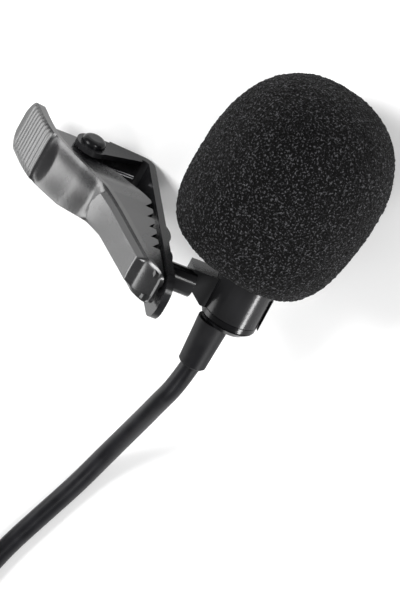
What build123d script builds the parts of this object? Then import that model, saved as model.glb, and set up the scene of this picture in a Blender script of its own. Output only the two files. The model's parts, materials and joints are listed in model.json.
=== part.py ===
from build123d import *
import math
import os

# Clip-on (lavalier) microphone with a foam windscreen, a sprung clip and its lead.
# The parts are drawn in the microphone's own frame, in millimetres: X along the capsule's
# axis towards the windscreen, Y from the capsule to the clip, Z along the clip to its nose,
# and the origin at the centre of the housing's rear rim. The whole microphone is then laid
# on a table: it rests on the windscreen and the end of the thumb pad.

# ---- driving dimensions, mm -------------------------------------------------------------
capsule_radius = 4.0
capsule_length = 15.5
capsule_wall = 0.45
rear_cap_length = 1.9
rear_spigot_length = 1.6
press_gap = 0.02
element_radius = 3.0
element_length = 3.2
gasket_length = 2.6

foam_radius = 12.9
foam_length = 28.9
foam_mouth_x = 8.2
foam_bore_depth = 14.0
foam_bore_clearance = 0.08
foam_tilt = 6.5
foam_offset = 1.4
foam_fullness = 0.65

boot_offset = 1.6
boot_root_radius = 2.35
boot_tip_radius = 2.0
boot_neck_radius = 1.85
boot_length = 7.2

cable_radius = 1.4
wire_radius = 0.3

holder_x = 2.6
holder_width = 4.6
holder_wall = 0.7
holder_clearance = 0.05
holder_mouth_y = -3.9
holder_mouth_z = 0.6
block_height = 3.6
block_back_z = -3.2
block_taper = 2.2
neck_radius = 1.9
neck_overlap = 0.6

plate_gap = 11.9
plate_thickness = 1.0
plate_width = 6.9
plate_tip_z = 9.4
plate_bend_z = -24.0
bend_radius = 1.8
tip_radius = 3.0
hinge_y = 21.5
hinge_z = -22.2
ear_thickness = 0.75
ear_radius = 2.4
pin_radius = 0.8
pin_clearance = 0.05
pin_head_radius = 1.75
pin_head_length = 1.0

lever_thickness = 1.3
lever_half_width = 2.4
nose_start_z = 5.8
nose_end_z = 8.2
pad_half_width = 3.8
panel_half_width = 2.05
panel_height = 0.8
flange_thickness = 0.7
tooth_pitch = 2.7
tooth_count = 5
tooth_depth = 1.1
jaw_gap = 0.45
ridge_count = 10
ridge_radius = 0.28
spring_wire = 0.25
spring_radius = 1.35
spring_turns = 4
swivel_angle = 4.0

coil_centre = (-84.9, 23.7)
coil_mean_radius = 16.0
coil_columns = 4
tie_width = 5.0
tie_thickness = 0.6

plug_body_radius = 4.0
plug_body_length = 15.0
plug_relief_length = 8.0
jack_radius = 1.75

# ---- pieces and their placement ---------------------------------------------------------
rivet_turn = Location((holder_x, 0, 0)) * Location((0, 0, 0), (0, -swivel_angle, 0))
as_drawn = Location()
as_swivelled = rivet_turn * Location((-holder_x, 0, 0))
drawn = {}
made = {}


def keep(builder, label, place):
    """Keep a finished piece of the microphone, in the microphone's frame."""
    drawn[label] = builder.part.moved(place)


def finish(piece, label):
    """Label a placed piece and write its STEP file."""
    piece.label = label
    made[label] = piece
    export_step(piece, f"parts/{label}.step")


def lowest(piece, angle):
    """Height of a piece's lowest point once the microphone is turned about X by an angle."""
    return piece.moved(Location((0, 0, 0), (angle, 0, 0))).bounding_box().min.Z


os.makedirs("parts", exist_ok=True)

# ---- capsule ----------------------------------------------------------------------------
cap_back = -1.3
housing_start = cap_back + rear_cap_length
inner_radius = capsule_radius - capsule_wall
front_x = housing_start + capsule_length

with BuildPart() as capsule_housing:
    with BuildSketch(Plane.YZ.offset(housing_start)):
        Circle(capsule_radius)
        Circle(inner_radius, mode=Mode.SUBTRACT)
    extrude(amount=capsule_length)
    chamfer(capsule_housing.edges().filter_by(GeomType.CIRCLE).group_by(Axis.X)[0][-1:], 0.12)
keep(capsule_housing, "capsule_housing", as_drawn)

spigot_radius = inner_radius - press_gap
with BuildPart() as rear_cap:
    with BuildSketch(Plane.XY):
        with BuildLine():
            Polyline(
                (cap_back, 0),
                (cap_back, capsule_radius - 1.0),
                (cap_back + 0.75, capsule_radius - 0.18),
                (cap_back + 0.9, capsule_radius - 0.3),
                (cap_back + 1.05, capsule_radius),
                (housing_start - 0.1, capsule_radius),
                (housing_start, capsule_radius - 0.12),
                (housing_start, spigot_radius),
                (housing_start + rear_spigot_length, spigot_radius),
                (housing_start + rear_spigot_length, 0),
                close=True,
            )
        make_face()
    revolve(axis=Axis.X)
    with BuildSketch(Plane.YZ.offset(cap_back)):
        with Locations((boot_offset, 0)):
            Circle(boot_neck_radius + press_gap)
    extrude(amount=rear_cap_length + rear_spigot_length, mode=Mode.SUBTRACT)
keep(rear_cap, "rear_cap", as_drawn)

grille_thickness = 0.6
with BuildPart() as grille_cap:
    with BuildSketch(Plane.YZ.offset(front_x)):
        Circle(capsule_radius)
    extrude(amount=grille_thickness)
    with BuildSketch(Plane.YZ.offset(front_x)):
        Circle(spigot_radius)
        Circle(spigot_radius - 0.5, mode=Mode.SUBTRACT)
    extrude(amount=-1.2)
    with BuildSketch(Plane.YZ.offset(front_x + grille_thickness)):
        Circle(0.4)
        with PolarLocations(1.3, 6):
            Circle(0.4)
        with PolarLocations(2.5, 12):
            Circle(0.4)
    extrude(amount=-grille_thickness, mode=Mode.SUBTRACT)
keep(grille_cap, "grille_cap", as_drawn)

mesh_thickness = 0.15
with BuildPart() as grille_mesh:
    with BuildSketch(Plane.YZ.offset(front_x)):
        Circle(spigot_radius - 0.5 - press_gap)
    extrude(amount=-mesh_thickness)
keep(grille_mesh, "grille_mesh", as_drawn)

# ---- electret element, from front to back -----------------------------------------------
element_front = front_x - 1.4
element_back = element_front - element_length
can_wall = 0.25
with BuildPart() as electret_can:
    with BuildSketch(Plane.YZ.offset(element_back)):
        Circle(element_radius)
    extrude(amount=element_length)
    with BuildSketch(Plane.YZ.offset(element_back)):
        Circle(element_radius - can_wall)
    extrude(amount=element_length - can_wall, mode=Mode.SUBTRACT)
    with BuildSketch(Plane.YZ.offset(element_front)):
        with PolarLocations(1.2, 4):
            Circle(0.3)
    extrude(amount=-can_wall, mode=Mode.SUBTRACT)
keep(electret_can, "electret_can", as_drawn)

stack_radius = element_radius - can_wall - press_gap
ring_front = element_front - can_wall
ring_length = 0.5
with BuildPart() as diaphragm_ring:
    with BuildSketch(Plane.YZ.offset(ring_front)):
        Circle(stack_radius)
        Circle(stack_radius - 0.5, mode=Mode.SUBTRACT)
    extrude(amount=-ring_length)
    with BuildSketch(Plane.YZ.offset(ring_front - ring_length)):
        Circle(stack_radius)
    extrude(amount=0.05)
keep(diaphragm_ring, "diaphragm_ring", as_drawn)

spacer_back = ring_front - ring_length - 0.1
with BuildPart() as spacer_washer:
    with BuildSketch(Plane.YZ.offset(spacer_back)):
        Circle(stack_radius)
        Circle(stack_radius - 0.5, mode=Mode.SUBTRACT)
    extrude(amount=0.1)
keep(spacer_washer, "spacer_washer", as_drawn)

backplate_back = spacer_back - 0.4
with BuildPart() as electret_backplate:
    with BuildSketch(Plane.YZ.offset(backplate_back)):
        Circle(stack_radius)
        with PolarLocations(1.4, 6):
            Circle(0.25, mode=Mode.SUBTRACT)
    extrude(amount=0.4)
keep(electret_backplate, "electret_backplate", as_drawn)

board_thickness = 0.4
board_front = element_back + board_thickness + 0.1
with BuildPart() as contact_ring:
    with BuildSketch(Plane.YZ.offset(board_front)):
        Circle(stack_radius)
        Circle(stack_radius - 0.45, mode=Mode.SUBTRACT)
    extrude(amount=backplate_back - board_front)
keep(contact_ring, "contact_ring", as_drawn)

with BuildPart() as preamp_board:
    with BuildSketch(Plane.YZ.offset(board_front)):
        Circle(stack_radius)
    extrude(amount=-board_thickness)
keep(preamp_board, "preamp_board", as_drawn)

chip_height = 0.7
with BuildPart() as preamp_chip:
    with BuildSketch(Plane.YZ.offset(board_front)):
        Rectangle(1.6, 1.2)
    extrude(amount=chip_height)
keep(preamp_chip, "preamp_chip", as_drawn)

with BuildPart() as element_gasket:
    with BuildSketch(Plane.YZ.offset(element_front - gasket_length)):
        Circle(inner_radius - press_gap)
        Circle(element_radius + press_gap, mode=Mode.SUBTRACT)
    extrude(amount=gasket_length)
keep(element_gasket, "element_gasket", as_drawn)

# ---- strain relief, its cable clamp and the two wires ------------------------------------
boot_root = cap_back
boot_end = boot_root - boot_length
boot_inside = housing_start + rear_spigot_length
with BuildPart() as strain_relief:
    with BuildSketch(Plane.XY.offset(0)):
        with BuildLine():
            Polyline(
                (boot_end, boot_offset),
                (boot_end, boot_offset + boot_tip_radius - 0.35),
                (boot_end + 0.35, boot_offset + boot_tip_radius),
                (boot_root, boot_offset + boot_root_radius),
                (boot_root, boot_offset + boot_neck_radius),
                (boot_inside, boot_offset + boot_neck_radius),
                (boot_inside, boot_offset),
                close=True,
            )
        make_face()
    revolve(axis=Axis((0, boot_offset, 0), (1, 0, 0)))
    with BuildSketch(Plane.YZ.offset(boot_end)):
        with Locations((boot_offset, 0)):
            Circle(cable_radius + press_gap)
    extrude(amount=boot_inside - boot_end, mode=Mode.SUBTRACT)
keep(strain_relief, "strain_relief", as_drawn)

clamp_length = 1.2
with BuildPart() as cable_clamp:
    with BuildSketch(Plane.YZ.offset(boot_inside)):
        with Locations((boot_offset, 0)):
            Circle(boot_neck_radius)
            Circle(cable_radius + press_gap, mode=Mode.SUBTRACT)
    extrude(amount=clamp_length)
keep(cable_clamp, "cable_clamp", as_drawn)

cable_inner_end = boot_inside + clamp_length
with BuildPart() as cord_end:
    with BuildSketch(Plane.YZ.offset(boot_end)):
        with Locations((boot_offset, 0)):
            Circle(cable_radius)
    extrude(amount=cable_inner_end - boot_end)
keep(cord_end, "cord_end", as_drawn)

wire_spread = 0.7
for label, side in (("signal_wire", 1), ("shield_wire", -1)):
    with BuildPart() as wire:
        with BuildLine():
            FilletPolyline(
                (cable_inner_end, boot_offset, side * wire_spread),
                (cable_inner_end + 1.5, boot_offset, side * wire_spread),
                (element_back - 1.5, 0, side * 2 * wire_spread),
                (element_back + 0.1, 0, side * 2 * wire_spread),
                radius=1.0,
            )
        with BuildSketch(Plane.YZ.offset(cable_inner_end)):
            with Locations((boot_offset, side * wire_spread)):
                Circle(wire_radius)
        sweep()
    keep(wire, label, as_drawn)

# ---- foam windscreen ----------------------------------------------------------------------
foam_half = foam_length / 2
foam_centre_x = foam_mouth_x + foam_half - 0.75
foam_turn = (0, 0, -foam_tilt)
foam_frame = Plane(Location((foam_centre_x, foam_offset, 0), foam_turn))
with BuildPart() as windscreen:
    with BuildSketch(foam_frame):
        with BuildLine():
            front = Bezier(
                (0, foam_radius),
                (foam_half * foam_fullness, foam_radius),
                (foam_half, foam_radius * foam_fullness),
                (foam_half, 0),
            )
            rear = Bezier(
                (0, foam_radius),
                (-foam_half * foam_fullness, foam_radius),
                (0.8 - foam_half, foam_radius * 0.88),
                (0.3 - foam_half, foam_radius * 0.58),
            )
            rim = ThreePointArc(
                rear @ 1,
                (-foam_half, foam_radius * 0.52),
                (0.2 - foam_half, foam_radius * 0.46),
            )
            Polyline(rim @ 1, (0.2 - foam_half, 0), (foam_half, 0))
        make_face()
    revolve(axis=Axis(foam_frame.origin, foam_frame.x_dir))
    with BuildSketch(Plane.YZ.offset(0)):
        Circle(capsule_radius + foam_bore_clearance)
    extrude(amount=front_x + grille_thickness + 0.4, mode=Mode.SUBTRACT)
keep(windscreen, "windscreen", as_drawn)

# ---- holder: split ring, block and rivet neck ----------------------------------------------
# The ring is thickest by the block and under the capsule, and thins to its free end.
ring_inner = capsule_radius + holder_clearance
ring_outer = ring_inner + holder_wall
ring_shift = (0.35, -0.3)
block_top = capsule_radius + block_height
holder_back = holder_x - holder_width / 2
block_depth = holder_mouth_z - block_back_z
with BuildPart() as holder_ring:
    with BuildSketch(Plane.YZ.offset(holder_back)):
        with Locations(ring_shift):
            Circle(ring_outer)
        with Locations((holder_mouth_y, holder_mouth_z)):
            Rectangle(3 * ring_outer, 2 * ring_outer, align=(Align.MIN, Align.MIN), mode=Mode.SUBTRACT)
        with Locations((capsule_radius / 2, block_back_z)):
            Rectangle(block_top - capsule_radius / 2, block_depth, align=(Align.MIN, Align.MIN))
        Circle(ring_inner, mode=Mode.SUBTRACT)
    extrude(amount=holder_width)
    with BuildSketch(Plane.XY.offset(block_back_z)):
        with BuildLine():
            Polyline(
                (holder_back, ring_outer),
                (holder_back, block_top),
                (holder_back + block_taper, block_top),
                close=True,
            )
        make_face()
    extrude(amount=block_depth, mode=Mode.SUBTRACT)
    with BuildSketch(Plane.XZ.offset(neck_overlap - block_top)):
        with Locations((holder_x, 0)):
            Circle(neck_radius)
    extrude(amount=block_top - plate_gap - neck_overlap)
    with BuildSketch(Plane.XZ.offset(-plate_gap)):
        with Locations((holder_x, 0)):
            Circle(neck_radius - 0.7)
    extrude(amount=-plate_thickness)
keep(holder_ring, "holder_ring", as_drawn)

washer_thickness = 0.5
with BuildPart() as neck_washer:
    with BuildSketch(Plane.XZ.offset(-(plate_gap - washer_thickness))):
        with Locations((holder_x, 0)):
            Circle(neck_radius + 1.1)
            Circle(neck_radius + press_gap, mode=Mode.SUBTRACT)
    extrude(amount=-washer_thickness)
keep(neck_washer, "neck_washer", as_swivelled)

# ---- clip back plate ------------------------------------------------------------------------
jaw_face = plate_gap + plate_thickness
plate_left = holder_x - plate_width / 2
shelf_y = hinge_y - ear_radius - 0.4
shelf_drop = 0.8
with BuildPart() as clip_plate:
    with BuildSketch(Plane.YZ.offset(plate_left)):
        with BuildLine():
            Polyline(
                (plate_gap, plate_tip_z),
                (plate_gap, plate_bend_z),
                (shelf_y, plate_bend_z - shelf_drop),
                (shelf_y, plate_bend_z - shelf_drop + plate_thickness),
                (jaw_face, plate_bend_z + plate_thickness),
                (jaw_face, plate_tip_z),
                close=True,
            )
        make_face()
    extrude(amount=plate_width)
    bend_edges = clip_plate.edges().filter_by(Axis.X)
    outer_bend = bend_edges.sort_by_distance((holder_x, plate_gap, plate_bend_z))[0]
    fillet(outer_bend, bend_radius)
    bend_edges = clip_plate.edges().filter_by(Axis.X)
    inner_bend = bend_edges.sort_by_distance((holder_x, jaw_face, plate_bend_z + plate_thickness))[0]
    fillet(inner_bend, bend_radius - plate_thickness)
    for ear_x in (plate_left, plate_left + plate_width - ear_thickness):
        with BuildSketch(Plane.YZ.offset(ear_x)):
            with Locations((hinge_y, hinge_z)):
                Circle(ear_radius)
            with BuildLine():
                Polyline(
                    (jaw_face + 1.0, plate_bend_z),
                    (hinge_y, hinge_z - ear_radius),
                    (hinge_y - ear_radius * 0.5, hinge_z + ear_radius * 0.8),
                    (jaw_face + 1.0, plate_bend_z + 1.4),
                    close=True,
                )
            make_face()
        extrude(amount=ear_thickness)
    with BuildSketch(Plane.YZ.offset(plate_left)):
        with Locations((hinge_y, hinge_z)):
            Circle(pin_radius + 0.01)
    extrude(amount=plate_width, mode=Mode.SUBTRACT)
    with BuildSketch(Plane.XZ.offset(-plate_gap)):
        with Locations((holder_x, 0)):
            Circle(neck_radius - 0.7 + press_gap)
    extrude(amount=-plate_thickness, mode=Mode.SUBTRACT)
    tip_edges = clip_plate.edges().filter_by(Axis.Y).sort_by(Axis.Z)[-2:]
    fillet(tip_edges, tip_radius)
keep(clip_plate, "clip_plate", as_swivelled)

lug_height = 1.8
with BuildPart() as bump_stop:
    with BuildSketch(Plane.YZ.offset(holder_x - 1.6)):
        with BuildLine():
            lug_arc = ThreePointArc(
                (plate_gap, -12.0), (plate_gap - lug_height, -8.0), (plate_gap, -4.6)
            )
            Line(lug_arc @ 1, lug_arc @ 0)
        make_face()
    extrude(amount=3.2)
keep(bump_stop, "bump_stop", as_swivelled)

# ---- clip lever: thumb pad, bowed neck and toothed jaw ---------------------------------------
flange_outer = lever_half_width
tooth_line = jaw_face + jaw_gap
with BuildPart() as clip_lever:
    with BuildSketch(Plane.YZ.offset(holder_x - pad_half_width)):
        with BuildLine():
            top = Spline(
                (29.3, -28.9),
                (27.6, -21.9),
                (24.0, -16.0),
                (20.6, -11.0),
                (17.4, -0.6),
                (14.8, 9.4),
                tangents=((-0.25, 1), (-0.3, 1)),
            )
            bottom = Spline(
                (14.8 - 1.3, 9.0),
                (16.0, -0.9),
                (19.2, -11.4),
                (22.6, -16.6),
                (26.2, -22.2),
                (27.9, -29.2),
                tangents=((0.25, -1), (0.25, -1)),
            )
            Line(top @ 1, bottom @ 0)
            Line(bottom @ 1, top @ 0)
        make_face()
    extrude(amount=2 * pad_half_width)
    with BuildSketch(Plane.XZ.offset(-40)):
        with BuildLine():
            right = Spline(
                (holder_x + pad_half_width, -30.5),
                (holder_x + pad_half_width, -22.5),
                (holder_x + lever_half_width + 0.3, -15.5),
                (holder_x + lever_half_width, -9.0),
                (holder_x + lever_half_width, nose_start_z),
                tangents=((0, 1), (0, 1)),
            )
            nose = ThreePointArc(
                (holder_x + lever_half_width, nose_start_z),
                (holder_x, nose_end_z),
                (holder_x - lever_half_width, nose_start_z),
            )
            left = Spline(
                (holder_x - lever_half_width, nose_start_z),
                (holder_x - lever_half_width, -9.0),
                (holder_x - lever_half_width - 0.3, -15.5),
                (holder_x - pad_half_width, -22.5),
                (holder_x - pad_half_width, -30.5),
                tangents=((0, -1), (0, -1)),
            )
            Line(left @ 1, right @ 0)
        make_face()
    extrude(amount=60, mode=Mode.INTERSECT)
    with BuildSketch(Plane.YZ.offset(holder_x - panel_half_width)):
        with BuildLine():
            Polyline(
                (19.9, -11.2),
                (20.7 + panel_height, -10.9),
                (19.2 + panel_height, -6.6),
                (16.3 + panel_height, 3.4),
                (15.9, 4.4),
                (15.2, 4.0),
                (17.9, -6.6),
                close=True,
            )
        make_face()
    extrude(amount=2 * panel_half_width)
    for flange_x in (holder_x - flange_outer, holder_x + flange_outer - flange_thickness):
        with BuildSketch(Plane.YZ.offset(flange_x)):
            with Locations((hinge_y, hinge_z)):
                Circle(ear_radius)
            with BuildLine():
                Polyline(
                    (26.2, -21.8),
                    (22.4, -15.9),
                    (19.3, -11.0),
                    (16.3, -0.9),
                    (14.7, nose_start_z),
                    (tooth_line, nose_start_z),
                    (tooth_line, 0.8),
                    (tooth_line, -13.2),
                    (17.2, -18.6),
                    (19.2, -22.0),
                    (hinge_y, hinge_z - ear_radius),
                    (24.6, -24.0),
                    close=True,
                )
            make_face()
            for tooth in range(tooth_count):
                tooth_z = -tooth * tooth_pitch
                with BuildLine():
                    Polyline(
                        (tooth_line - 0.01, tooth_z + 0.8),
                        (tooth_line + tooth_depth, tooth_z - 0.1),
                        (tooth_line - 0.01, tooth_z - 1.6),
                        close=True,
                    )
                make_face(mode=Mode.SUBTRACT)
        extrude(amount=flange_thickness)
    with BuildSketch(Plane.YZ.offset(holder_x - flange_outer)):
        with Locations((hinge_y, hinge_z)):
            Circle(pin_radius + pin_clearance)
    extrude(amount=2 * flange_outer, mode=Mode.SUBTRACT)
keep(clip_lever, "clip_lever", as_swivelled)

ridge_start = (29.0, -28.2)
ridge_step = (-0.15, 0.62)
with BuildPart() as thumb_ridges:
    for ridge in range(ridge_count):
        ridge_y = ridge_start[0] + ridge * ridge_step[0] + 0.02
        ridge_z = ridge_start[1] + ridge * ridge_step[1]
        with BuildSketch(Plane.YZ.offset(holder_x - pad_half_width + 0.5)):
            with Locations((ridge_y, ridge_z)):
                Circle(ridge_radius)
        extrude(amount=2 * pad_half_width - 1.0)
keep(thumb_ridges, "thumb_ridges", as_swivelled)

pin_half = plate_width / 2
with BuildPart() as hinge_pin:
    with BuildSketch(Plane.YZ.offset(holder_x - pin_half - 0.4)):
        with Locations((hinge_y, hinge_z)):
            Circle(pin_radius)
    extrude(amount=2 * pin_half + 0.4)
    with BuildSketch(Plane.YZ.offset(holder_x + pin_half)):
        with Locations((hinge_y, hinge_z)):
            Circle(pin_head_radius)
    extrude(amount=pin_head_length)
    fillet(hinge_pin.edges().filter_by(GeomType.CIRCLE).sort_by(Axis.X)[-1], 0.8)
keep(hinge_pin, "hinge_pin", as_swivelled)

# Wound round the pin between the lever's flanges, with a leg under each jaw.
spring_length = spring_turns * spring_wire * 2.4
spring_start = holder_x - spring_length / 2
with BuildPart() as torsion_spring:
    for turn in range(spring_turns):
        ring_x = spring_start + turn * spring_wire * 2.4
        with BuildSketch(Plane.YZ.offset(ring_x)):
            with Locations((hinge_y, hinge_z)):
                Circle(spring_radius + spring_wire)
                Circle(spring_radius - spring_wire, mode=Mode.SUBTRACT)
        extrude(amount=spring_wire * 2.4)
    leg_lever = Plane(origin=(spring_start + 0.3, hinge_y + spring_radius, hinge_z), z_dir=(0, -0.22, 1))
    with BuildSketch(leg_lever):
        Circle(spring_wire)
    extrude(amount=4.2)
    leg_plate = Plane(
        origin=(spring_start + spring_length - 0.3, hinge_y - spring_radius, hinge_z),
        z_dir=(0, -1, 0.0),
    )
    with BuildSketch(leg_plate):
        Circle(spring_wire)
    extrude(amount=hinge_y - spring_radius - jaw_face - 1.2)
keep(torsion_spring, "torsion_spring", as_swivelled)

# ---- lay the microphone on the table --------------------------------------------------------
# Halve the range of angles until the windscreen and the clip's bend touch the table together.
low_angle = 20.0
high_angle = 60.0
for _ in range(12):
    lie_angle = (low_angle + high_angle) / 2
    if lowest(drawn["clip_plate"], lie_angle) < lowest(drawn["windscreen"], lie_angle):
        low_angle = lie_angle
    else:
        high_angle = lie_angle
axis_height = -min(lowest(drawn["windscreen"], lie_angle), lowest(drawn["clip_plate"], lie_angle))
laid = Location((0, 0, axis_height)) * Location((0, 0, 0), (lie_angle, 0, 0))

# The origin is under the middle of the microphone's box, without the lead.
boxes = [piece.moved(laid).bounding_box() for piece in drawn.values()]
middle_x = (min(box.min.X for box in boxes) + max(box.max.X for box in boxes)) / 2
middle_y = (min(box.min.Y for box in boxes) + max(box.max.Y for box in boxes)) / 2
on_table = Location((-middle_x, -middle_y, 0)) * laid
print("lie angle", round(lie_angle, 4), "axis at", round(-middle_x, 4), round(-middle_y, 4), round(axis_height, 4))
for label, piece in drawn.items():
    finish(piece.moved(on_table), label)

# ---- lead: run on the table, coil, tail and tie ------------------------------------------------
exit_point = (on_table * Location((boot_end, boot_offset, 0))).position
run_points = [
    (exit_point.X, exit_point.Y, exit_point.Z),
    (-26.3, -12.7, 12.9),
    (-30.5, -11.1, 10.9),
    (-35.1, -9.3, 8.0),
    (-40.1, -7.3, 5.0),
    (-45.5, -5.3, 2.6),
    (-51.5, -3.4, 1.4),
    (-58.5, -1.0, 1.4),
    (-65.7, 1.4, 1.4),
    (-73.1, 3.0, 1.4),
    (-80.7, 3.7, 1.4),
]


def corner_radii(points):
    """As large an arc at each corner as its two runs allow."""
    radii = []
    for before, corner, after in zip(points, points[1:], points[2:]):
        first = Vector(*corner) - Vector(*before)
        second = Vector(*after) - Vector(*corner)
        turn = math.radians(first.get_angle(second))
        radii.append(0.45 * min(first.length, second.length) / math.tan(turn / 2))
    return radii


def cord_tube(points):
    """A round tube along straight runs joined by tangent arcs."""
    radii = corner_radii(points)
    with BuildPart() as tube:
        with BuildLine() as route:
            FilletPolyline(*points, radius=radii)
        start = Plane(origin=points[0], z_dir=Vector(*points[1]) - Vector(*points[0]))
        with BuildSketch(start):
            Circle(cable_radius)
        sweep(path=route.wires()[0])
    length = route.wires()[0].length
    share = tube.part.volume / (math.pi * cable_radius**2 * length)
    print("tube length", round(length, 1), "volume share", round(share, 4))
    print("radii", [round(radius, 1) for radius in radii])
    return tube


cord_run = cord_tube(run_points)
finish(cord_run.part, "cord_run")

coil_half = coil_columns * cable_radius
coil_inner = coil_mean_radius - coil_half
coil_outer = coil_mean_radius + coil_half
coil_height = 2 * coil_half
with BuildPart() as cord_coil:
    with BuildSketch(Plane.XY):
        with Locations(coil_centre):
            Circle(coil_outer)
            Circle(coil_inner, mode=Mode.SUBTRACT)
    extrude(amount=coil_height)
finish(cord_coil.part, "cord_coil")

with BuildPart() as coil_tie:
    with BuildSketch(Plane.XZ.offset(-(coil_centre[1] - tie_width / 2))):
        with Locations((coil_centre[0] - coil_mean_radius, coil_half + tie_thickness / 2)):
            Rectangle(2 * coil_half + 2.4, coil_height + tie_thickness)
            Rectangle(2 * coil_half + 1.2, coil_height - tie_thickness, mode=Mode.SUBTRACT)
    extrude(amount=-tie_width)
finish(coil_tie.part, "coil_tie")

# The plug lies across the top of the coil.
plug_z = coil_height + plug_body_radius
plug_y = coil_centre[1] - 12.0
plug_x = coil_centre[0] + 2.0
tail_points = [
    (coil_centre[0] + 16.0, coil_centre[1] + 4.0, coil_height - cable_radius),
    (coil_centre[0] + 15.4, coil_centre[1] - 3.0, coil_height + 0.4),
    (coil_centre[0] + 12.4, coil_centre[1] - 8.8, coil_height + 2.6),
    (coil_centre[0] + 7.4, plug_y, plug_z),
    (plug_x, plug_y, plug_z),
]
cord_tail = cord_tube(tail_points)
finish(cord_tail.part, "cord_tail")

along_plug = Plane(origin=(plug_x, plug_y, plug_z), x_dir=(0, 1, 0), z_dir=(-1, 0, 0))
relief_radius = 2.6
with BuildPart() as plug_relief:
    with BuildSketch(along_plug):
        Circle(relief_radius - 0.6)
    with BuildSketch(along_plug.offset(plug_relief_length)):
        Circle(relief_radius)
    loft()
finish(plug_relief.part, "plug_relief")

with BuildPart() as plug_body:
    with BuildSketch(along_plug.offset(plug_relief_length)):
        Circle(plug_body_radius)
    extrude(amount=plug_body_length)
    chamfer(plug_body.edges().filter_by(GeomType.CIRCLE), 0.5)
finish(plug_body.part, "plug_body")

# Jack sections from the body outwards: sleeve, insulator, ring, insulator and tip.
jack_start = plug_relief_length + plug_body_length
section_x = jack_start
sections = (
    ("plug_sleeve", 5.4, jack_radius),
    ("plug_insulator_rear", 0.7, jack_radius),
    ("plug_ring", 2.0, jack_radius),
    ("plug_insulator_front", 0.7, jack_radius),
)
for label, length, radius in sections:
    with BuildPart() as section:
        with BuildSketch(along_plug.offset(section_x)):
            Circle(radius)
        extrude(amount=length)
    finish(section.part, label)
    section_x = section_x + length

tip_length = 5.2
tip_axis = Axis((plug_x - section_x, plug_y, plug_z), (1, 0, 0))
with BuildPart() as plug_tip:
    tip_plane = Plane(origin=(plug_x - section_x, plug_y, plug_z), x_dir=(-1, 0, 0), z_dir=(0, 1, 0))
    with BuildSketch(tip_plane):
        with BuildLine():
            Polyline(
                (0, 0),
                (0, jack_radius),
                (1.4, jack_radius),
                (2.2, jack_radius - 0.45),
                (2.9, jack_radius),
                (tip_length - 0.4, 0.5),
                (tip_length, 0.3),
                (tip_length, 0),
                close=True,
            )
        make_face()
    revolve(axis=tip_axis)
finish(plug_tip.part, "plug_tip")

for label, piece in made.items():
    box = piece.bounding_box()
    print(label, round(piece.volume, 2), "x", round(box.min.X, 1), round(box.max.X, 1), "z", round(box.min.Z, 2))
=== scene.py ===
import json
import math
import bmesh
import bpy
from mathutils import Matrix, Vector


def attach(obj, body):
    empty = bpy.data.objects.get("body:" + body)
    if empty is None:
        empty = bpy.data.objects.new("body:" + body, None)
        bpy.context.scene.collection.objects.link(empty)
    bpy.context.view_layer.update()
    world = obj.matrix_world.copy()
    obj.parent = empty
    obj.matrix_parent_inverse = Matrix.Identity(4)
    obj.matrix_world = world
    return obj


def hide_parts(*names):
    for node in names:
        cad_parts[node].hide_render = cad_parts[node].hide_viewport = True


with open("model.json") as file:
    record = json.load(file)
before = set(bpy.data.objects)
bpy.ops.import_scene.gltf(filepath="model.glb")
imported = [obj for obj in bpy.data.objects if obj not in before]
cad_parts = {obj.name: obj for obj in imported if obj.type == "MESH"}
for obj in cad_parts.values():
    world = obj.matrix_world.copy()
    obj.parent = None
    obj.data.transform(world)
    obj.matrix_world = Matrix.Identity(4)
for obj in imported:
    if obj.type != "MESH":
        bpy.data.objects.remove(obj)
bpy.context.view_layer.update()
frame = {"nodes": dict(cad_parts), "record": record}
nodes = frame["nodes"]
MM = 0.001

# ---- camera: looks down on the microphone, with the windscreen to the upper right ----------
RIM = Vector((-13.9406, -14.478, 12.114))  # centre of the capsule's rear rim, mm
VIEW_RIGHT = Vector((0.4410, -0.7942, -0.4179))
VIEW_UP = Vector((0.8210, 0.5452, -0.1696))
CAMERA_DISTANCE = 1.6
FRAME_HEIGHT = 0.08136  # what the picture's long side covers at that distance
SENSOR = 36.0
CLIP_START = 0.01
TARGET_RIGHT = -3.93 * MM
TARGET_UP = 2.31 * MM


def add_object(name, data):
    piece = bpy.data.objects.new(name, data)
    bpy.context.scene.collection.objects.link(piece)
    return piece


def make_camera():
    view_right = VIEW_RIGHT.normalized()
    view_back = view_right.cross(VIEW_UP).normalized()
    view_up = view_back.cross(view_right)
    target = RIM * MM + view_right * TARGET_RIGHT + view_up * TARGET_UP
    data = bpy.data.cameras.new("camera")
    data.sensor_width = SENSOR
    data.lens = SENSOR * CAMERA_DISTANCE / FRAME_HEIGHT
    data.clip_start = CLIP_START
    camera = add_object("camera", data)
    turn = Matrix((view_right, view_up, view_back)).transposed()
    camera.matrix_world = Matrix.Translation(target + view_back * CAMERA_DISTANCE) @ turn.to_4x4()
    bpy.context.scene.camera = camera


make_camera()

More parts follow.
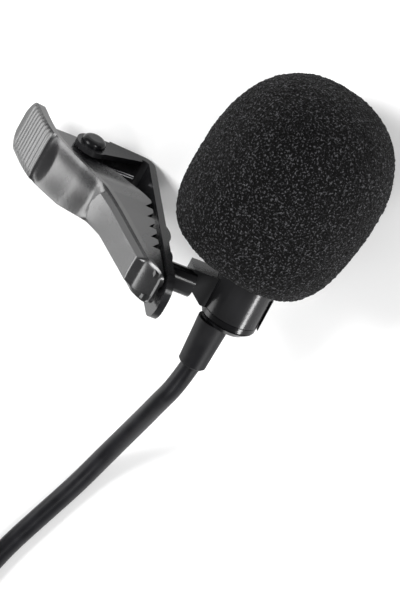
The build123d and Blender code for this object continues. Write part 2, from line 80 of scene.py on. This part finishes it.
# ---- lead -----------------------------------------------------------------------------------
CABLE_RADIUS = 1.4
COIL_CENTRE = (-84.9, 23.7)
COIL_RADII = (20.2, 17.4, 14.6, 11.8)
COIL_LAYERS = 4
COIL_HEIGHT = COIL_LAYERS * 2 * CABLE_RADIUS
TURN_STEPS = 16
LANE_CHANGE = 0.2  # share of a turn over which the lead moves to the next lane
RUN = [
    (-22.44, -13.18, 13.05),
    (-26.3, -12.7, 12.9),
    (-30.5, -11.1, 10.9),
    (-35.1, -9.3, 8.0),
    (-40.1, -7.3, 5.0),
    (-45.5, -5.3, 2.6),
    (-51.5, -3.4, 1.4),
    (-58.5, -1.0, 1.4),
    (-65.7, 1.4, 1.4),
    (-73.1, 3.0, 1.4),
    (-80.7, 3.7, 1.4),
]
TAIL = [
    (COIL_CENTRE[0] + 16.0, COIL_CENTRE[1] + 4.0, COIL_HEIGHT - CABLE_RADIUS),
    (COIL_CENTRE[0] + 15.4, COIL_CENTRE[1] - 3.0, COIL_HEIGHT + 0.4),
    (COIL_CENTRE[0] + 12.4, COIL_CENTRE[1] - 8.8, COIL_HEIGHT + 2.6),
    (COIL_CENTRE[0] + 7.4, COIL_CENTRE[1] - 12.0, COIL_HEIGHT + 4.0),
    (COIL_CENTRE[0] + 2.0, COIL_CENTRE[1] - 12.0, COIL_HEIGHT + 4.0),
]
COIL_TURNS = 15
COIL_START = -78.0
COIL_END = 14.0 - 360.0 * COIL_TURNS


def coil_points():
    """Turns laid side by side, clockwise, then layer on layer, in and out by turns."""
    lanes = []
    for layer in range(COIL_LAYERS):
        radii = COIL_RADII if layer % 2 == 0 else COIL_RADII[::-1]
        lanes += [(radius, CABLE_RADIUS * (1 + 2 * layer)) for radius in radii]
    points = []
    angle = COIL_START - 360.0 / TURN_STEPS
    while angle > COIL_END + 180.0 / TURN_STEPS:
        turns = (COIL_START - angle) / 360.0
        lane = min(int(turns), len(lanes) - 2)
        share = max(0.0, (turns - lane - (1.0 - LANE_CHANGE)) / LANE_CHANGE)
        here = lanes[lane]
        there = lanes[lane + 1]
        radius = here[0] + (there[0] - here[0]) * share
        height = here[1] + (there[1] - here[1]) * share
        place_x = COIL_CENTRE[0] + radius * math.cos(math.radians(angle))
        place_y = COIL_CENTRE[1] + radius * math.sin(math.radians(angle))
        points.append((place_x, place_y, height))
        angle -= 360.0 / TURN_STEPS
    return points


def make_cord():
    points = RUN + coil_points() + TAIL
    curve = bpy.data.curves.new("lead", "CURVE")
    curve.dimensions = "3D"
    spline = curve.splines.new("NURBS")
    spline.points.add(len(points) - 1)
    for point, place in zip(spline.points, points):
        point.co = (place[0] * MM, place[1] * MM, place[2] * MM, 1.0)
        point.radius = CABLE_RADIUS * MM
    spline.order_u = 3
    spline.use_endpoint_u = True
    spline.resolution_u = 6
    curve.bevel_depth = 1.0
    curve.bevel_resolution = 8
    curve.use_fill_caps = True
    return add_object("lead", curve)


lead = make_cord()
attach(lead, "microphone")
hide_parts("cord_run", "cord_coil", "cord_tail")


# ---- materials --------------------------------------------------------------------------------
BLACK = (0.003, 0.003, 0.0035)
SOFT_BLACK = (0.007, 0.007, 0.008)
CLOUD_SCALE = 250.0
MOTTLE_RANGE = (0.35, 0.7)
COAT_ROUGHNESS = 0.12
BUMP_SHARE = 0.3  # height of the grain against its size
# edge colour: partly wear, partly a painted highlight along the edges
WEAR_AND_HIGHLIGHT_COLOUR = (0.16, 0.16, 0.165, 1.0)
WEAR_AND_HIGHLIGHT_RANGE = (0.58, 0.7)  # pointiness from which an edge gets wear and a painted highlight, and at which it has them in full
FOAM_GRAIN_SCALE = 3300.0
# the specks and struts below carry painted highlights; the pores between them carry painted shade
FOAM_HIGHLIGHT_SPECK_SCALE = 5200.0
FOAM_CLOUD_SCALE = 120.0
FOAM_STRUT_HIGHLIGHT_RANGE = (0.42, 0.62)
FOAM_ROUGHNESS = (0.6, 0.95)
FOAM_BUMP = 0.4 * MM
# place on the ramp, then colour, from painted shade in the pores to painted highlights on the struts
FOAM_SHADE_AND_HIGHLIGHT_COLOURS = (
    (0.05, (0.0015, 0.0015, 0.0015, 1.0)),
    (0.34, (0.004, 0.004, 0.0045, 1.0)),
    (0.6, (0.085, 0.085, 0.09, 1.0)),
)


def new_material(name):
    material = bpy.data.materials.new(name)
    material.use_nodes = True
    tree = material.node_tree
    return material, tree, tree.nodes["Principled BSDF"]


def add_node(tree, kind, place, **values):
    node = tree.nodes.new(kind)
    node.location = place
    for name, value in values.items():
        node.inputs[name].default_value = value
    return node


def add_range(tree, place, value, start=(0.0, 1.0), end=(0.0, 1.0)):
    """The value, mapped from one range to another."""
    node = add_node(tree, "ShaderNodeMapRange", place)
    node.inputs["From Min"].default_value = start[0]
    node.inputs["From Max"].default_value = start[1]
    node.inputs["To Min"].default_value = end[0]
    node.inputs["To Max"].default_value = end[1]
    tree.links.new(value, node.inputs["Value"])
    return node.outputs["Result"]


def add_ramp(tree, place, value, stops):
    """The value, turned into colours by a ramp of two stops or more."""
    node = add_node(tree, "ShaderNodeValToRGB", place)
    ramp = node.color_ramp
    for element, stop in ((ramp.elements[0], stops[0]), (ramp.elements[1], stops[-1])):
        element.position = stop[0]
        element.color = stop[1]
    for position, colour in stops[1:-1]:
        ramp.elements.new(position).color = colour
    tree.links.new(value, node.inputs["Fac"])
    return node.outputs["Color"]


def add_bump(tree, shader, place, height, strength, distance):
    node = add_node(tree, "ShaderNodeBump", place, Strength=strength, Distance=distance)
    tree.links.new(height, node.inputs["Height"])
    tree.links.new(node.outputs["Normal"], shader.inputs["Normal"])


def surface(name, colours, rough, grain, bump, metallic=0.0, coat=0.0, wear_and_highlight=0.0, specular=0.5):
    """A material with mottled colour, uneven roughness, a fine grain and, when asked, edges lightened
    partly as wear and partly as a painted highlight. grain is in millimetres.
    """
    material, tree, shader = new_material(name)
    shader.inputs["Metallic"].default_value = metallic
    shader.inputs["Coat Weight"].default_value = coat
    shader.inputs["Coat Roughness"].default_value = COAT_ROUGHNESS
    shader.inputs["Specular IOR Level"].default_value = specular
    place = add_node(tree, "ShaderNodeTexCoord", (-1200, 0))
    cloud = add_node(tree, "ShaderNodeTexNoise", (-900, 200), Scale=CLOUD_SCALE, Detail=6.0)
    fine = add_node(tree, "ShaderNodeTexNoise", (-900, -200), Scale=1000.0 / grain, Detail=4.0)
    for texture in (cloud, fine):
        tree.links.new(place.outputs["Object"], texture.inputs["Vector"])
    stops = [(at, (*tone, 1.0)) for at, tone in zip(MOTTLE_RANGE, colours)]
    colour = add_ramp(tree, (-600, 300), cloud.outputs["Fac"], stops)
    # lightens convex edges: partly wear, partly a painted highlight along them
    if wear_and_highlight:
        geometry = add_node(tree, "ShaderNodeNewGeometry", (-900, 600))
        edge = add_range(tree, (-600, 600), geometry.outputs["Pointiness"], WEAR_AND_HIGHLIGHT_RANGE, (0.0, wear_and_highlight))
        mix = add_node(tree, "ShaderNodeMix", (-300, 400))
        mix.data_type = "RGBA"
        mix.inputs["B"].default_value = WEAR_AND_HIGHLIGHT_COLOUR
        tree.links.new(edge, mix.inputs["Factor"])
        tree.links.new(colour, mix.inputs["A"])
        colour = mix.outputs["Result"]
    tree.links.new(colour, shader.inputs["Base Color"])
    uneven = add_range(tree, (-600, 0), cloud.outputs["Fac"], end=rough)
    tree.links.new(uneven, shader.inputs["Roughness"])
    add_bump(tree, shader, (-300, -200), fine.outputs["Fac"], bump, grain * MM * BUMP_SHARE)
    return material


def foam_material():
    """Charcoal open-cell foam, with painted shade in its pores and painted highlights on its struts.
    """
    material, tree, shader = new_material("open_cell_foam")
    shader.inputs["Sheen Weight"].default_value = 0.015
    shader.inputs["Sheen Roughness"].default_value = 0.5
    shader.inputs["Specular IOR Level"].default_value = 0.07
    place = add_node(tree, "ShaderNodeTexCoord", (-1300, 0))
    noise = "ShaderNodeTexNoise"
    grain = add_node(tree, noise, (-1000, 200), Scale=FOAM_GRAIN_SCALE, Detail=2.0, Roughness=0.6)
    highlight_specks = add_node(tree, noise, (-1000, -100), Scale=FOAM_HIGHLIGHT_SPECK_SCALE, Detail=1.0, Roughness=0.5)
    cloud = add_node(tree, noise, (-1000, -400), Scale=FOAM_CLOUD_SCALE, Detail=3.0)
    for texture in (grain, highlight_specks, cloud):
        tree.links.new(place.outputs["Object"], texture.inputs["Vector"])
    blend = add_node(tree, "ShaderNodeMath", (-550, 100))
    blend.operation = "MULTIPLY"
    strut_highlights = add_range(tree, (-750, 200), grain.outputs["Fac"], FOAM_STRUT_HIGHLIGHT_RANGE)
    tree.links.new(strut_highlights, blend.inputs[0])
    tree.links.new(highlight_specks.outputs["Fac"], blend.inputs[1])
    # this colour paints shade into the pores and highlights onto the struts and specks
    colour = add_ramp(tree, (-350, 200), blend.outputs["Value"], FOAM_SHADE_AND_HIGHLIGHT_COLOURS)
    tree.links.new(colour, shader.inputs["Base Color"])
    uneven = add_range(tree, (-350, -300), cloud.outputs["Fac"], end=FOAM_ROUGHNESS)
    tree.links.new(uneven, shader.inputs["Roughness"])
    add_bump(tree, shader, (-150, -100), blend.outputs["Value"], 1.0, FOAM_BUMP)
    return material


RUBBER_TONES = ((0.004, 0.004, 0.005), (0.011, 0.011, 0.012))
JACKET_TONES = ((0.004, 0.004, 0.005), (0.011, 0.011, 0.013))
BRIGHT_TONES = ((0.42, 0.42, 0.44), (0.58, 0.58, 0.6))
BRASS_TONES = ((0.62, 0.42, 0.16), (0.75, 0.55, 0.25))
enamel = surface(
    "black_enamel", (BLACK, SOFT_BLACK), (0.16, 0.3), 0.35, 0.10, coat=0.06, wear_and_highlight=0.18, specular=0.14
)
gloss = surface(
    "gloss_black", (BLACK, SOFT_BLACK), (0.14, 0.26), 0.5, 0.08, coat=0.08, wear_and_highlight=0.3, specular=0.14
)
lever_gloss = surface("lever_gloss", (BLACK, SOFT_BLACK), (0.2, 0.32), 0.5, 0.06, specular=0.8)
rubber = surface("soft_rubber", RUBBER_TONES, (0.42, 0.6), 0.12, 0.25, specular=0.13)
jacket = surface("cable_jacket", JACKET_TONES, (0.32, 0.46), 0.2, 0.18, specular=0.13)
bright = surface("bright_metal", BRIGHT_TONES, (0.12, 0.28), 0.15, 0.08, metallic=1.0)
brass = surface("brass", BRASS_TONES, (0.2, 0.35), 0.15, 0.08, metallic=1.0)
insulator = surface("insulator", ((0.03, 0.03, 0.03), (0.06, 0.06, 0.06)), (0.4, 0.6), 0.2, 0.15)
wire_skin = surface("wire_insulation", ((0.5, 0.05, 0.04), (0.62, 0.08, 0.06)), (0.4, 0.55), 0.2, 0.1)
strap = surface("tie_strap", ((0.01, 0.01, 0.011), (0.045, 0.045, 0.048)), (0.7, 0.95), 0.35, 0.8)
foam = foam_material()
BY_SLOT = {
    "black_enamel": enamel,
    "gloss_plastic": gloss,
    "soft_rubber": rubber,
    "cable_jacket": jacket,
    "bright_metal": bright,
    "steel_mesh": bright,
    "brass": brass,
    "insulator": insulator,
    "wire_insulation": wire_skin,
    "tie_strap": strap,
    "open_cell_foam": foam,
}
for part in frame["record"]["subparts"]:
    data = nodes[part["node"]].data
    data.materials.clear()
    data.materials.append(BY_SLOT[part["material_slot"]])
lead.data.materials.append(jacket)

# ---- rounded edges on the moulded and stamped pieces --------------------------------------------
EDGE_RADII = {
    "clip_plate": 0.14,
    "holder_ring": 0.14,
    "strain_relief": 0.18,
    "bump_stop": 0.25,
    "neck_washer": 0.1,
    "rear_cap": 0.06,
    "coil_tie": 0.25,
}
EDGE_ANGLE = 35  # degrees from which an edge is rounded
for name, radius in EDGE_RADII.items():
    bevel = nodes[name].modifiers.new("rounded_edges", "BEVEL")
    bevel.width = radius * MM
    bevel.segments = 3
    bevel.limit_method = "ANGLE"
    bevel.angle_limit = math.radians(EDGE_ANGLE)
    bevel.harden_normals = False


# ---- foam windscreen ------------------------------------------------------------------------------
FOAM_VOXEL = 0.28
FOAM_RELIEF = (("lumps", 3.0, 0.22), ("pits", 0.5, 0.4))  # name, size, depth
FOAM_MID_LEVEL = 0.62  # more than half, so that the relief is mostly cut in


def make_foam():
    """The windscreen's own form, with the fine pits and lumps of cut foam in its surface."""
    mesh = nodes["windscreen"].data.copy()
    piece = add_object("foam_windscreen", mesh)
    remesh = piece.modifiers.new("even_mesh", "REMESH")
    remesh.mode = "VOXEL"
    remesh.voxel_size = FOAM_VOXEL * MM
    remesh.use_smooth_shade = True
    for name, size, depth in FOAM_RELIEF:
        texture = bpy.data.textures.new(name, "CLOUDS")
        texture.noise_scale = size * MM
        texture.noise_depth = 2
        displace = piece.modifiers.new(name, "DISPLACE")
        displace.texture = texture
        displace.texture_coords = "LOCAL"
        displace.strength = depth * MM
        displace.mid_level = FOAM_MID_LEVEL
    return piece


foam_windscreen = make_foam()
foam_windscreen.data.materials.clear()
foam_windscreen.data.materials.append(foam)
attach(foam_windscreen, "windscreen")
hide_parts("windscreen")


# ---- clip lever: ridged thumb pad, dished waist, raised panel and toothed cheeks --------------
# In the clip's own frame, in millimetres: x across the lever, y away from the capsule, z to the nose.
LIE_ANGLE = 35.7715
SWIVEL_ANGLE = -4.0
SWIVEL_X = 2.6
LEVER_BACK = -29.7
LEVER_NOSE = 7.6
# height along the lever, then how far its face stands away from the capsule
TOP_LINE = (
    (-35.0, 30.4),
    (-28.9, 29.3),
    (-21.9, 27.6),
    (-16.0, 24.0),
    (-11.0, 20.6),
    (-0.6, 17.4),
    (9.4, 14.8),
    (14.0, 13.5),
)
# height along the lever, middle across it, half width
LEVER_WIDTHS = (
    (LEVER_BACK, 1.8, 3.95),
    (-20.5, 1.9, 3.9),
    (-16.3, 2.15, 3.75),
    (-11.7, 2.95, 3.1),
    (-8.0, 3.2, 2.8),
    (LEVER_NOSE, 3.3, 2.7),
)
LEVER_STEPS = 236
ACROSS_STEPS = 28
CORNER = 1.5
LEAST_HALF = 0.05
SHELL = 1.2
UNDERSIDE = 0.97  # width of the underside against the face
NOSE_THICKENING = 0.35

# Relief of the face. Shares are of half the lever's width: full height up to the first, none past
# the second.
PAD_END = -21.4
PAD_HEIGHT = 0.2
PAD_STEP = 0.15  # before and after the pad's end
RIDGE_PITCH = 0.8
RIDGE_HEIGHT = 0.11
RIDGE_BASE = 0.6
RIDGE_MARGIN = (0.7, 1.0)  # from the back end to where the ridges begin and reach full height
RIDGE_SHARES = (0.84, 0.92)
WAIST_DEPTH = 0.75
WAIST_START = 1.5  # after the pad's end, where the dish is full
WAIST_END = 2.2  # before the panel's start, where it begins to run out
PANEL_START = -11.2
PANEL_END = 3.7
PANEL_HEIGHT = 0.85
PANEL_BOW = 0.9
PANEL_RISE = (0.35, 0.15)  # before and after the panel's start
PANEL_FALL = (0.1, 1.0)  # before and after the panel's end
PANEL_SHARES = (0.72, 0.86)
PANEL_CROWN = 0.12
NOSE_DROP = 2.4
NOSE_START = 0.5
NOSE_END = 1.5
EDGE_DROP = 0.3

CHEEK = 0.7
CHEEK_BACK = -24.6
CHEEK_FRONT_GAP = 0.8
CHEEK_STEP = 0.1
CHEEK_RING = 6  # points round one section of a cheek
CHEEK_OUT = 2.4
CHEEK_LEAN = (-19.0, -14.0)
CHEEK_INSET = 0.35
CHEEK_TOP_GAP = 0.9
SHELF_TOP_GAP = 0.2
SHELF_LOW_GAP = 0.3
HINGE = (21.5, -22.2)
BARREL = 2.4
TOOTH_COUNT = 5
FIRST_TOOTH = -0.1
TOOTH_LINE = 13.35
TOOTH_PITCH = 2.7
TOOTH_DEPTH = 1.1
TOOTH_RISE = 1.5
TOOTH_BACK = 0.12
# height along the lever against the cheek's lower edge
JAW_LINE = (
    (CHEEK_BACK, 21.5),
    (-19.8, 19.6),
    (-18.6, 17.2),
    (-13.2, TOOTH_LINE),
    (LEVER_NOSE, TOOTH_LINE),
)
SMOOTH_ANGLE = 38  # degrees up to which two faces are shaded as one


def smooth_curve(points, at):
    """Value at a place on a smooth curve through points."""
    index = 1
    while index < len(points) - 3 and at > points[index + 1][0]:
        index += 1
    before, first, second, after = points[index - 1 : index + 3]
    span = second[0] - first[0]
    share = (at - first[0]) / span
    slope_first = (second[1] - before[1]) / (second[0] - before[0]) * span
    slope_second = (after[1] - first[1]) / (after[0] - first[0]) * span
    square = share * share
    cube = square * share
    return (
        (2 * cube - 3 * square + 1) * first[1]
        + (cube - 2 * square + share) * slope_first
        + (3 * square - 2 * cube) * second[1]
        + (cube - square) * slope_second
    )


def straight_line(points, at, column=1):
    """Value at a place on straight runs between points."""
    for first, second in zip(points, points[1:]):
        if at <= second[0]:
            share = (at - first[0]) / (second[0] - first[0])
            return first[column] + (second[column] - first[column]) * min(1.0, max(0.0, share))
    return points[-1][column]


def ease(low, high, at):
    """0 before low, 1 after high, and a smooth step between them."""
    share = min(1.0, max(0.0, (at - low) / (high - low)))
    return share * share * (3 - 2 * share)


def corner_inset(from_end):
    """How far a round corner stands in from the lever's side."""
    if from_end >= CORNER:
        return 0.0
    return CORNER - math.sqrt(max(0.0, CORNER**2 - (CORNER - from_end) ** 2))


def lever_half(z):
    """Half the lever's width, with round corners on the pad and a round nose."""
    half = straight_line(LEVER_WIDTHS, z, 2)
    return half - corner_inset(z - LEVER_BACK) - corner_inset(LEVER_NOSE - z)


def relief(z, across):
    """How far the lever's face stands from its smooth line."""
    side = abs(across)
    pad = 1.0 - ease(PAD_END - PAD_STEP, PAD_END + PAD_STEP, z)
    ridged = ease(LEVER_BACK + RIDGE_MARGIN[0], LEVER_BACK + RIDGE_MARGIN[1], z)
    inside = (1.0 - ease(*RIDGE_SHARES, side)) * ridged
    ridges = 0.5 + 0.5 * math.cos(2 * math.pi * (z - PAD_END) / RIDGE_PITCH)
    height = pad * (PAD_HEIGHT + inside * RIDGE_HEIGHT * (ridges - RIDGE_BASE))
    waist = ease(PAD_END, PAD_END + WAIST_START, z)
    waist *= 1.0 - ease(PANEL_START - WAIST_END, PANEL_START, z)
    height -= WAIST_DEPTH * waist * (1.0 - side**2)
    edge = PANEL_START + PANEL_BOW * side**2
    panel = ease(edge - PANEL_RISE[0], edge + PANEL_RISE[1], z)
    panel *= 1.0 - ease(PANEL_END - PANEL_FALL[0], PANEL_END + PANEL_FALL[1], z)
    panel *= 1.0 - ease(*PANEL_SHARES, side)
    height += PANEL_HEIGHT * panel * (1.0 - PANEL_CROWN * side**2)
    nose = ease(PANEL_END + NOSE_START, LEVER_NOSE + NOSE_END, z)
    height -= NOSE_DROP * nose + EDGE_DROP * side**6
    return height


def lever_shell(points, faces):
    """Face, underside and rim of the lever's sheet, as rings of points round each section."""
    ring = 2 * (ACROSS_STEPS + 1)
    start = len(points)
    for step in range(LEVER_STEPS + 1):
        z = LEVER_BACK + (LEVER_NOSE - LEVER_BACK) * step / LEVER_STEPS
        middle = straight_line(LEVER_WIDTHS, z)
        half = max(LEAST_HALF, lever_half(z))
        line = smooth_curve(TOP_LINE, z)
        for column in range(ACROSS_STEPS + 1):
            across = -1 + 2 * column / ACROSS_STEPS
            points.append((middle + half * across, line + relief(z, across), z))
        under = line - SHELL - NOSE_THICKENING * ease(PANEL_END, LEVER_NOSE, z)
        for column in range(ACROSS_STEPS + 1):
            across = 1 - 2 * column / ACROSS_STEPS
            points.append((middle + UNDERSIDE * half * across, under, z))
    for step in range(LEVER_STEPS):
        for column in range(ring):
            here = start + step * ring
            beside = (column + 1) % ring
            faces.append((here + column, here + ring + column, here + ring + beside, here + beside))
    faces.append(tuple(range(start, start + ring)))
    end = start + LEVER_STEPS * ring
    faces.append(tuple(range(end, end + ring))[::-1])


def jaw_edge(z):
    """The cheek's lower edge: round the hinge, down to the jaw and along its saw teeth."""
    from_hinge = z - HINGE[1]
    edge = straight_line(JAW_LINE, z)
    if abs(from_hinge) < BARREL:
        return min(edge, HINGE[0] - math.sqrt(BARREL**2 - from_hinge**2))
    for tooth in range(TOOTH_COUNT):
        top = FIRST_TOOTH - tooth * TOOTH_PITCH
        if top - TOOTH_RISE < z <= top:
            edge = max(edge, TOOTH_LINE + TOOTH_DEPTH * (z - top + TOOTH_RISE) / TOOTH_RISE)
        if top < z < top + TOOTH_BACK:
            edge = max(edge, TOOTH_LINE + TOOTH_DEPTH * (top + TOOTH_BACK - z) / TOOTH_BACK)
    return edge


def lever_cheek(points, faces, side):
    """One side wall. It leans out past the hinge, to the sheet's edge."""
    start = len(points)
    steps = int((LEVER_NOSE - CHEEK_FRONT_GAP - CHEEK_BACK) / CHEEK_STEP)
    places = [CHEEK_BACK + CHEEK_STEP * step for step in range(steps + 1)]
    for z in places:
        outer = SWIVEL_X + side * CHEEK_OUT
        sheet = straight_line(LEVER_WIDTHS, z) + side * (lever_half(z) - CHEEK_INSET)
        outer += (sheet - outer) * ease(*CHEEK_LEAN, z)
        inner = outer - side * CHEEK
        low = jaw_edge(z)
        high = smooth_curve(TOP_LINE, z) - CHEEK_TOP_GAP
        above_teeth = max(low + SHELF_LOW_GAP, TOOTH_LINE + TOOTH_DEPTH + SHELF_LOW_GAP)
        shelf = min(high - SHELF_TOP_GAP, above_teeth)
        points.extend(((outer, low, z), (outer, shelf, z), (outer, high, z)))
        points.extend(((inner, high, z), (inner, shelf, z), (inner, low, z)))
    for step in range(steps):
        here = start + CHEEK_RING * step
        for corner in range(CHEEK_RING):
            beside = (corner + 1) % CHEEK_RING
            ahead = here + CHEEK_RING
            faces.append((here + corner, here + beside, ahead + beside, ahead + corner))
    faces.append(tuple(range(start, start + CHEEK_RING))[::-1])
    end = start + CHEEK_RING * steps
    faces.append(tuple(range(end, end + CHEEK_RING)))


def make_lever():
    points, faces = [], []
    lever_shell(points, faces)
    lever_cheek(points, faces, 1)
    lever_cheek(points, faces, -1)
    to_swivel = Matrix.Translation((SWIVEL_X, 0, 0))
    swivel = to_swivel @ Matrix.Rotation(math.radians(SWIVEL_ANGLE), 4, "Y") @ to_swivel.inverted()
    to_table = Matrix.Translation(RIM) @ Matrix.Rotation(math.radians(LIE_ANGLE), 4, "X") @ swivel
    mesh = bpy.data.meshes.new("thumb_lever")
    mesh.from_pydata([tuple((to_table @ Vector(point)) * MM) for point in points], [], faces)
    mesh.validate()
    tidy = bmesh.new()
    tidy.from_mesh(mesh)
    bmesh.ops.recalc_face_normals(tidy, faces=tidy.faces)
    tidy.to_mesh(mesh)
    tidy.free()
    mesh.polygons.foreach_set("use_smooth", [True] * len(mesh.polygons))
    mesh.set_sharp_from_angle(angle=math.radians(SMOOTH_ANGLE))
    piece = add_object("thumb_lever", mesh)
    mesh.materials.append(lever_gloss)
    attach(piece, "lever")
    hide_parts("clip_lever", "thumb_ridges")


make_lever()


# ---- floor and light --------------------------------------------------------------------------------
FLOOR_REACH = 1.2
FLOOR_TONE = (0.97, 0.97, 0.97, 1.0)
FLOOR_ROUGHNESS = 0.9
STUDIO_TONE = (1.0, 1.0, 1.0, 1.0)
STUDIO_STRENGTH = 0.36
# name, place, size, power
LIGHTS = (
    ("key", (0.10, 0.28, 0.42), 0.22, 2.2),
    ("fill", (-0.40, -0.05, 0.35), 0.14, 0.7),
    ("front", (0.25, -0.35, 0.30), 0.14, 1.4),
    ("lever_panel", (-0.18, 0.46, 0.16), 0.26, 1.3),
    ("capsule_strip", (-0.20, -0.46, 0.06), 0.10, 1.8),
)


def make_stage():
    data = bpy.data.meshes.new("floor")
    corners = [(-1, -1), (1, -1), (1, 1), (-1, 1)]
    data.from_pydata([(FLOOR_REACH * x, FLOOR_REACH * y, 0) for x, y in corners], [], [(0, 1, 2, 3)])
    floor = add_object("floor", data)
    paint, _, shader = new_material("pale_floor")
    shader.inputs["Base Color"].default_value = FLOOR_TONE
    shader.inputs["Roughness"].default_value = FLOOR_ROUGHNESS
    data.materials.append(paint)


def add_light(name, place, size, power):
    """A square light that faces the middle of the microphone's box."""
    data = bpy.data.lights.new(name, "AREA")
    data.size = size
    data.energy = power
    light = add_object(name, data)
    light.location = place
    light.rotation_euler = (-Vector(place)).to_track_quat("-Z", "Y").to_euler()


def make_world():
    world = bpy.data.worlds.new("studio")
    world.use_nodes = True
    background = world.node_tree.nodes["Background"]
    background.inputs["Color"].default_value = STUDIO_TONE
    background.inputs["Strength"].default_value = STUDIO_STRENGTH
    bpy.context.scene.world = world


make_stage()
for light in LIGHTS:
    add_light(*light)
make_world()
bpy.context.scene.view_settings.view_transform = "Standard"
